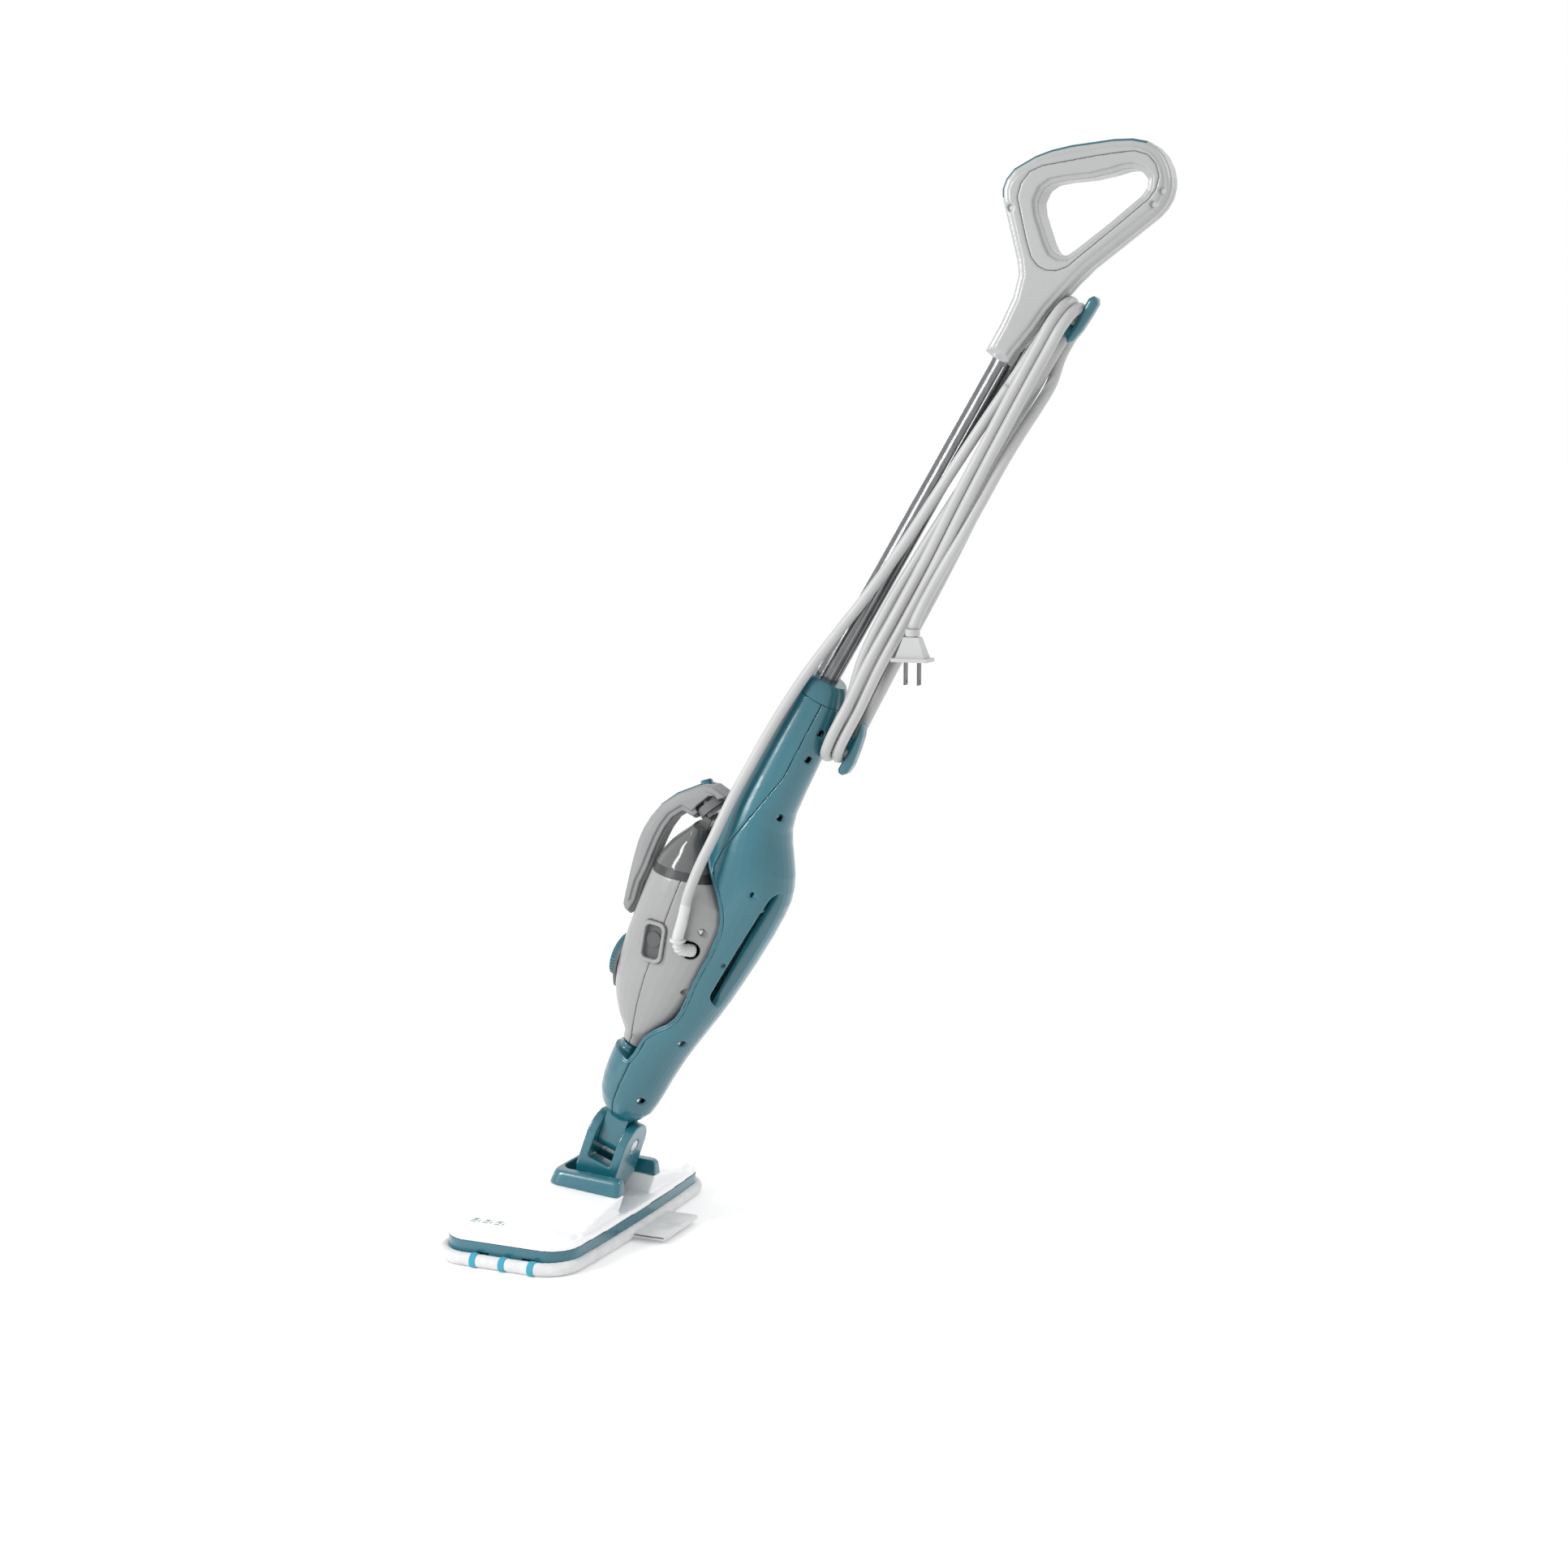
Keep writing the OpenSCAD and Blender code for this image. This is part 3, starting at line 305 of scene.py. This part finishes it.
def soften(node, voxel, rounds):
    """A rounded copy of a CAD piece, which stands for it: its edges become fillets."""
    src = NODES[node]
    me = src.data.copy()
    if "custom_normal" in me.attributes:
        me.attributes.remove(me.attributes["custom_normal"])
    ob = bpy.data.objects.new(node + "_shape", me)
    bpy.context.scene.collection.objects.link(ob)
    weld = ob.modifiers.new("weld", "WELD")
    weld.merge_threshold = WELD_GAP
    mesh = ob.modifiers.new("remesh", "REMESH")
    mesh.mode = "VOXEL"
    mesh.voxel_size = voxel
    ease = ob.modifiers.new("ease", "SMOOTH")
    ease.factor = 0.5
    ease.iterations = rounds
    applied(ob)
    ob.data.materials.clear()
    ob.data.materials.append(mats[LOOK_OF[node]])
    ob.data.polygons.foreach_set("use_smooth", [True] * len(ob.data.polygons))
    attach(ob, src["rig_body"])
    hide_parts(node)
    return ob


def spline(points, steps):
    """A curve through the points; slopes weigh each side by its length, so it never loops."""
    p = [Vector(q) for q in points]
    n = len(p)
    gap = [max((b - a).length, 1e-9) for a, b in zip(p, p[1:])]
    slope = []
    for i in range(n):
        if 0 < i < n - 1:
            before, after = (p[i] - p[i - 1]) / gap[i - 1], (p[i + 1] - p[i]) / gap[i]
            slope.append((before * gap[i] + after * gap[i - 1]) / (gap[i] + gap[i - 1]))
        else:
            slope.append((p[1] - p[0]) / gap[0] if i == 0 else (p[-1] - p[-2]) / gap[-1])
    out = []
    for i in range(n - 1):
        a, b, h = p[i], p[i + 1], gap[i]
        for j in range(steps):
            u = j / steps
            out.append(a * (2 * u**3 - 3 * u * u + 1) + b * (3 * u * u - 2 * u**3)
                       + slope[i] * h * (u**3 - 2 * u * u + u) + slope[i + 1] * h * (u**3 - u * u))
    return out + [p[-1]]


def evened(path, step):
    """The same path with its points the same distance apart."""
    total = sum((b - a).length for a, b in zip(path, path[1:]))
    count = max(2, round(total / step))
    out, i, done = [path[0]], 0, 0.0
    for k in range(1, count):
        want = total * k / count
        while done + (path[i + 1] - path[i]).length < want:
            done += (path[i + 1] - path[i]).length
            i += 1
        out.append(path[i].lerp(path[i + 1], (want - done) / (path[i + 1] - path[i]).length))
    return out + [path[-1]]


def tube(name, path, radius, look, body, sides=16):
    """A tube along a path; radius may be a function of the share of the way along."""
    verts, faces = [], []
    n = len(path)
    side = None
    for i, p in enumerate(path):
        t = (path[min(i + 1, n - 1)] - path[max(i - 1, 0)]).normalized()
        if side is None:
            side = t.orthogonal().normalized()
        side = (side - t * side.dot(t)).normalized()
        up = t.cross(side)
        r = radius(i / (n - 1)) if callable(radius) else radius
        for k in range(sides):
            a = 2 * math.pi * k / sides
            verts.append(p + (side * math.cos(a) + up * math.sin(a)) * r)
    for i in range(n - 1):
        for k in range(sides):
            q = (k + 1) % sides
            faces.append([i * sides + k, i * sides + q, (i + 1) * sides + q, (i + 1) * sides + k])
    faces.append(list(range(sides))[::-1])
    faces.append([(n - 1) * sides + k for k in range(sides)])
    return put(name, verts, faces, look, body)


# ---- cord -------------------------------------------------------------------------------
CORD = 0.010
CORD_STEP = 0.004  # between two rings of a cord, metres
LEAD = [(54, -38.9, 292), (53.6, -42, 306), (53.4, -47.6, 322), (49, -54, 351),
        (42, -58.4, 386), (35, -63, 421), (31.4, -64.6, 460), (29.4, -65, 500),
        (27.6, -61.8, 560), (23, -57.4, 602), (18.8, -51.6, 645), (17.6, -44.4, 707),
        (17.4, -39.8, 771), (17.4, -35.4, 833), (17.4, -31.2, 880)]
LAST_FALL = [(-20.6, -14.2, 918), (-16, -8.4, 896), (-5, -5.6, 874), (6, -4, 851),
             (13, -3, 826), (16.2, -1.6, 780), (17.2, -0.9, 742)]
TAIL = [(20, -0.4, 712), (23.6, 0.8, 694), (27.4, 2.4, 677), (29.6, 4, 663.6), (30, 5.5, 653.6)]
LOW, HIGH = 522, 944  # heights of the two hooks on the mast
TOPS = [(11.2, -28.3), (11.2, -18.3), (22.4, -24.8), (21.6, -15.4)]
MIDS = [(12.0, -30.0, -26.5), (15.3, -18.8, -15.8), (13.6, -8.6, -5.2)]
FEET = [(11.2, -12.6), (21.2, -12.6), (16.4, -2.9)]
HEIGHTS = [560, 600, 650, 710, 770, 830, 880, 920]
UP_Y, UP_X = (640, 300), (660, 130)  # where a strand starts to slide, and over what height
DOWN_Y, DOWN_X = (630, 110), (690, 150)


def ease(u):
    u = min(1.0, max(0.0, u))
    return u * u * (3 - 2 * u)


def hank_run(top, mid, foot, side, heights):
    """One length between the hooks: x and y slide from the foot's row to the top's."""
    out = []
    for z in heights:
        up_y, up_x = (ease((z - start) / run) for start, run in (UP_Y, UP_X))
        down_y, down_x = (ease((start - z) / run) for start, run in (DOWN_Y, DOWN_X))
        my = mid[1] if side > 0 else mid[2]
        x = mid[0] + (top[0] - mid[0]) * up_x + (foot[0] - mid[0]) * down_x
        y = my + (top[1] - my) * up_y + (foot[1] - my) * down_y
        out.append((side * x, y, z))
    return out


def hank_arc(row, centre, first, last):
    r, y = row
    turns = [math.radians(first + (last - first) * i / 6) for i in range(7)]
    return [(r * math.cos(a), y, centre + r * math.sin(a)) for a in turns]


def hank_route():
    """Three and a half turns: up the near side, over, down the far side and under."""
    pts = [LEAD[-1], (16.6, -29.2, 906), (13.8, -28.2, 929)]
    for k, top in enumerate(TOPS):
        pts += hank_arc(top, HIGH, 14, 166)
        if k == len(MIDS):
            break
        pts += hank_run(top, MIDS[k], FEET[k], -1, HEIGHTS[::-1])
        pts += hank_arc(FEET[k], LOW, 194, 346)
        pts += hank_run(TOPS[k + 1], MIDS[k], FEET[k], 1, HEIGHTS)
    return pts + LAST_FALL + TAIL


def route_length(path):
    return sum((b - a).length for a, b in zip(path, path[1:]))


lead_path = evened(spline([mast(*p) for p in LEAD], 12), CORD_STEP)
lead = tube("cord_lead_run", lead_path, CORD / 2, "cord", None)
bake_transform(lead)
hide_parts("cord_lead")
hank_path = evened(spline([mast(*p) for p in hank_route()], 10), CORD_STEP)
hank = tube("cord_hank_turns", hank_path, CORD / 2, "cord", "mast")
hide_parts("cord_hank", "cord_tail")


# ---- cloth pad, its edge roll and loops, and its tab ------------------------------------------
ROLL = 6.25  # radius of the edge roll
ROLL_SIDES = 20
PAD_LONG, PAD_SHORT, PAD_CORNER = 155.25, 73.75, 32.75  # half sizes of the roll's centre line
PAD_Y = -4  # the pad's middle
BOW = 0.00022  # how fast a long side curves in
SOLE = ((0.4, 3.0, True), (4.6, 2.0, False))  # height, inset, and whether it faces down
SOLE_RINGS = 14
LOOP_PLACES = (-27.5, 3.5, 34.3)
LOOP_ROWS = 26
LOOP_FROM, LOOP_TURN = -92, 262  # degrees round the roll
LOOP_SECTION = ((0.05, -3.1), (0.62, -3.0), (0.8, -2.2), (0.8, 2.2), (0.62, 3.0), (0.05, 3.1))
TAB_X, TAB_WIDE, TAB_COLUMNS, TAB_STEPS = -8, 73.6, 45, 22


def outline(half_x, b, r):
    """The pad's outline in plan, anticlockwise from +X: bowed long sides and round corners."""
    x0 = half_x - r
    yc = b - BOW * x0 * x0 - r
    part = [(half_x, yc * u / 10) for u in range(1, 10)]
    turns = [math.pi * t / 48 for t in range(25)]
    part += [(x0 + r * math.cos(a), yc + r * math.sin(a)) for a in turns]
    part += [(x0 * u / 30, b - BOW * (x0 * u / 30) ** 2) for u in range(29, 0, -1)]
    top = part + [(0, b)] + [(-x, y) for x, y in part[::-1]]
    under = [(x, -y) for x, y in top[::-1]]
    return [Vector((x, y + PAD_Y, 0)) for x, y in [(half_x, 0), *top, (-half_x, 0), *under]]


def pad_cloth():
    """A fat rolled edge, puckered along its seam, round a thin sole."""
    line = outline(PAD_LONG, PAD_SHORT, PAD_CORNER)
    n, m = len(line), ROLL_SIDES
    verts, faces, walked = [], [], 0.0
    for i, c in enumerate(line):
        t = (line[(i + 1) % n] - line[i - 1]).normalized()
        out = Vector((t.y, -t.x, 0))
        walked += (c - line[i - 1]).length
        for k in range(m):
            a = 2 * math.pi * k / m
            way = out * math.cos(a) + Vector((0, 0, 1)) * math.sin(a)
            lump = noise.noise(Vector((c.x / 17, c.y / 17, a * 0.9)))
            pucker = max(0.0, math.cos(a - 2.4)) * math.sin(walked * 0.95)
            q = c + Vector((0, 0, ROLL)) + way * (ROLL - 0.12 + 0.2 * lump + 0.16 * pucker)
            q.z = max(q.z, 0.15)
            verts.append(q * MM)
        for k in range(m):
            j, h = (i + 1) % n, (k + 1) % m
            faces.append([i * m + k, i * m + h, j * m + h, j * m + k])
    faces = [f[::-1] for f in faces]
    for level, inset, flip in SOLE:
        start = len(verts)
        for g in range(SOLE_RINGS):
            share = 1 - g / SOLE_RINGS
            for c in line:
                x = c.x * (1 - inset / 160) * share
                y = (c.y - PAD_Y) * (1 - inset / 76) * share + PAD_Y
                z = level + (0.25 * noise.noise(Vector((x / 21, y / 21, 3))) if share < 0.97 else 0)
                verts.append(Vector((x, y, max(0.15, z))) * MM)
        verts.append(Vector((0, PAD_Y, level)) * MM)
        for g in range(SOLE_RINGS - 1):
            for i in range(n):
                j = (i + 1) % n
                a, b = start + g * n, start + (g + 1) * n
                faces.append([a + i, b + i, b + j, a + j] if flip else [a + i, a + j, b + j, b + i])
        last, hub = start + (SOLE_RINGS - 1) * n, len(verts) - 1
        for i in range(n):
            j = (i + 1) % n
            faces.append([last + i, hub, last + j] if flip else [last + i, last + j, hub])
    return put("pad_cloth_roll", verts, faces, "cloth", NODES["head_pad"]["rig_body"])


def pad_loops():
    """Six woven loops sewn round the edge roll, three at each short end."""
    verts, faces = [], []
    for s in (-1, 1):
        for y in LOOP_PLACES:
            start = len(verts)
            for i in range(LOOP_ROWS):
                a = math.radians(LOOP_FROM + LOOP_TURN * i / (LOOP_ROWS - 1))
                for lift, w in LOOP_SECTION:
                    r = ROLL + lift
                    x = s * (PAD_LONG + r * math.cos(a))
                    verts.append(Vector((x, y + w, max(0.12, ROLL + r * math.sin(a)))) * MM)
            for i in range(LOOP_ROWS - 1):
                row, above = start + i * 6, start + (i + 1) * 6
                for k in range(6):
                    q = (k + 1) % 6
                    f = [row + k, row + q, above + q, above + k]
                    faces.append(f if s < 0 else f[::-1])
            for i in (0, LOOP_ROWS - 1):
                f = [start + i * 6 + k for k in range(6)]
                faces.append(f if (i == 0) == (s > 0) else f[::-1])
    body = NODES["pad_stripes"]["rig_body"]
    return put("pad_loops_woven", verts, faces, "loop", body, smooth=False)


def folded_tab():
    """A strip of cloth folded back on itself, its layers a little apart, with a stitch line."""
    far, near, mid, gap = 107.4, 72.6, 5.9, 1.55
    line = [(near + (far - near) * i / TAB_STEPS, mid + gap) for i in range(TAB_STEPS + 1)]
    turns = [math.pi * i / 8 for i in range(1, 8)]
    line += [(far + gap * math.sin(a), mid + gap * math.cos(a)) for a in turns]
    line += [(far - (far - near) * i / TAB_STEPS, mid - gap) for i in range(TAB_STEPS + 1)]
    n, cols, half = len(line), TAB_COLUMNS, 0.85
    verts, faces = [], []
    for c in range(cols):
        x = TAB_X - TAB_WIDE / 2 + TAB_WIDE * c / (cols - 1)
        for side in (1, -1):
            for i in (range(n) if side > 0 else range(n - 1, -1, -1)):
                y, z = line[i]
                ty = line[min(i + 1, n - 1)][0] - line[max(i - 1, 0)][0]
                tz = line[min(i + 1, n - 1)][1] - line[max(i - 1, 0)][1]
                k = math.hypot(ty, tz)
                seam = math.exp(-(((far - 4.5 - y) / 0.7) ** 2))
                stitch = 0.28 * seam * (0.6 + 0.4 * math.sin(x * 2.1))
                edge = 0.3 * (abs(2 * c / (cols - 1) - 1) ** 12)
                t = side * (half - stitch - edge)
                wave = 0.3 * noise.noise(Vector((x / 16, y / 13, z / 6)))
                rag = 0.5 * noise.noise(Vector((x / 9, z, 7))) * min(1, max(0, (y - 90) / 15))
                verts.append(Vector((x, y - tz / k * t + rag, z + ty / k * t + wave)) * MM)
    m = 2 * n
    for c in range(cols - 1):
        for i in range(m):
            j = (i + 1) % m
            faces.append([c * m + i, c * m + j, (c + 1) * m + j, (c + 1) * m + i])
    for c in (0, cols - 1):
        for i in range(n - 1):
            f = [c * m + i, c * m + i + 1, c * m + m - 2 - i, c * m + m - 1 - i]
            faces.append(f[::-1] if c == 0 else f)
    ob = put("tab_folded", verts, faces, "cloth", NODES["pull_tab"]["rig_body"])
    ob.data.flip_normals()
    return ob


pad = pad_cloth()
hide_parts("head_pad")
loops = pad_loops()
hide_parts("pad_stripes")
tab = folded_tab()
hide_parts("pull_tab")


# ---- bend relief: a ribbed elbow, a collar and a sleeve that tapers onto the cord -------------
RIBS_END, NECK_END, COLLAR_END = 21.5, 23.4, 26.0  # millimetres along the relief
RIB_PITCH, RIB_START = 3.4, 6
NECK, COLLAR, SLEEVE = 4.7, 7.9, 5.55  # radii in millimetres


def relief():
    path = [(37.5, -23.6, 278), (42, -26.2, 277.6), (47.5, -29.6, 277), (51.4, -32.6, 278.6),
            (53.6, -35.4, 283), (54, -38.2, 289.6), (53.9, -40, 297), (53.6, -43, 308),
            (53.5, -46.6, 319)]
    line = evened(spline([mast(*p) for p in path], 14), 0.0006)
    total = route_length(line)

    def radius(u):
        s = u * total * 1000
        if s < RIBS_END:
            ridge = 0.5 + 0.5 * math.cos(2 * math.pi * (s - RIB_START) / RIB_PITCH)
            return (6.6 - 0.05 * s - 1.5 * (1 - ridge) ** 2) * MM
        if s < NECK_END:
            return NECK * MM
        if s < COLLAR_END:
            e = abs(s - 24.7) / 1.3
            return (COLLAR - 0.9 * e**4) * MM
        return (SLEEVE - 0.45 * min(1, (s - COLLAR_END) / (total * 1000 - COLLAR_END))) * MM

    return tube("bend_relief", line, radius, "relief", NODES["strain_relief"]["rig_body"], 28)


elbow = relief()
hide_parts("strain_relief")


# ---- bead round the steamer's opening in the frame ---------------------------------------------
# the frame's outer section by height: middle y, half width, front y, rear y
FRAME = [(134, -22, 30.8, -55.4, 11.8), (150, -21.5, 31.2, -56, 12.4), (165, -20, 32, -57, 13.4),
         (180, -18, 32.4, -59, 15.2), (200, -16, 32.8, -62, 18), (220, -14.5, 33.8, -66, 20.8),
         (240, -13.5, 35.2, -68, 23), (262, -13, 36.8, -70, 24.6), (290, -13, 38, -71, 26.2),
         (320, -13, 38.4, -72, 27.2), (343, -14, 38.2, -73, 26.8), (357, -16, 37.8, -73, 25.4),
         (369, -20, 37.2, -73, 22), (381, -25, 36.4, -73, 16.2), (393, -30, 35, -73, 7.8)]
RIM = [(-36, 138), (-27.6, 138.4), (-23.8, 151), (-22.8, 170.6), (-17.2, 182.8), (-9, 195.6),
       (-4.8, 206.6), (-3.7, 217), (-5.7, 251), (-5.7, 285), (-7.8, 309.4), (-12.6, 321.6),
       (-20, 332), (-29.2, 340), (-42.2, 348.9), (-54, 357), (-62, 363.4)]
BEAD_STEP, BEAD_SUNK, BEAD_RADIUS = 3.0, -0.35, 0.0011


def on_frame(y, z, out):
    """A point on the frame's skin at that height and depth, pushed out by so many millimetres."""
    for a, b in zip(FRAME, FRAME[1:]):
        if a[0] <= z <= b[0]:
            u = (z - a[0]) / (b[0] - a[0])
            c, w, front, rear = (a[k] + (b[k] - a[k]) * u for k in range(1, 5))
            d = c - front if y < c else rear - c
            return ((w + out) * math.sqrt(max(0.02, 1 - ((y - c) / d) ** 2)), y, z)


for s in (-1, 1):
    flat = evened(spline([(0, y, z) for y, z in RIM], 8), BEAD_STEP)
    skin = [on_frame(f.y, f.z, BEAD_SUNK) for f in flat]
    tube("rim_bead_" + "rl"[s > 0], [mast(s * x, y, z) for x, y, z in skin],
         BEAD_RADIUS, "teal", "mast", 10)


# ---- dressed CAD pieces -------------------------------------------------------------------
# pieces whose edges are rounded: voxel size in metres and rounds of smoothing
SOFT = {"frame_rear": (0.0011, 5), "frame_front": (0.0011, 5), "steamer_front": (0.001, 4),
        "steamer_rear": (0.001, 4), "fork": (0.0009, 5), "button_bezel": (0.0006, 5),
        "handle_left": (0.0011, 6), "handle_right": (0.0011, 6), "handle_insert": (0.0011, 6),
        "head_cover": (0.0011, 14), "head_bezel": (0.0009, 4), "upper_hook": (0.0008, 5),
        "lower_hook": (0.0008, 5), "grip_left": (0.0009, 6), "grip_right": (0.0009, 6)}
for node in NODES:
    dress(node)
for node, (voxel, rounds) in SOFT.items():
    soften(node, voxel, rounds)


# ---- floor and light ------------------------------------------------------------------------
FLOOR, FLOOR_GAP, FLOOR_GLOW = 60, 0.0002, 0.14


def plain(name, colour, rough):
    p = Paint(name)
    p.colours(p.noise(3, 2), scaled(colour, 0.985), colour)
    p.set(Roughness=rough)
    return p.mat


mats["floor"] = plain("floor", (0.86, 0.86, 0.86), 0.65)
glow = mats["floor"].node_tree.nodes["Principled BSDF"].inputs
glow["Emission Color"].default_value = (1, 1, 1, 1)
glow["Emission Strength"].default_value = FLOOR_GLOW
corners = [(-FLOOR, -FLOOR, 0), (FLOOR, -FLOOR, 0), (FLOOR, FLOOR, 0), (-FLOOR, FLOOR, 0)]
floor = put("floor", corners, [[0, 1, 2, 3]], "floor", None)
floor.location.z = -FLOOR_GAP

world = bpy.data.worlds.new("studio")
world.use_nodes = True
world.node_tree.nodes["Background"].inputs["Color"].default_value = (1, 1, 1, 1)
world.node_tree.nodes["Background"].inputs["Strength"].default_value = 1.0
bpy.context.scene.world = world


def lamp(name, place, target, size, power):
    data = bpy.data.lights.new(name, "AREA")
    data.shape = "RECTANGLE"
    data.size, data.size_y = size
    data.energy = power
    ob = bpy.data.objects.new(name, data)
    ob.location = place
    ob.rotation_mode = "QUATERNION"
    ob.rotation_quaternion = (Vector(target) - Vector(place)).to_track_quat("-Z", "Y")
    bpy.context.scene.collection.objects.link(ob)


lamp("key", (1.6, -1.25, 1.35), (0, 0.3, 0.45), (0.4, 1.1), 34)
lamp("rim", (-0.9, 1.6, 1.7), (0, 0.4, 0.6), (0.5, 1.2), 8)

bpy.context.scene.view_settings.view_transform = "Standard"
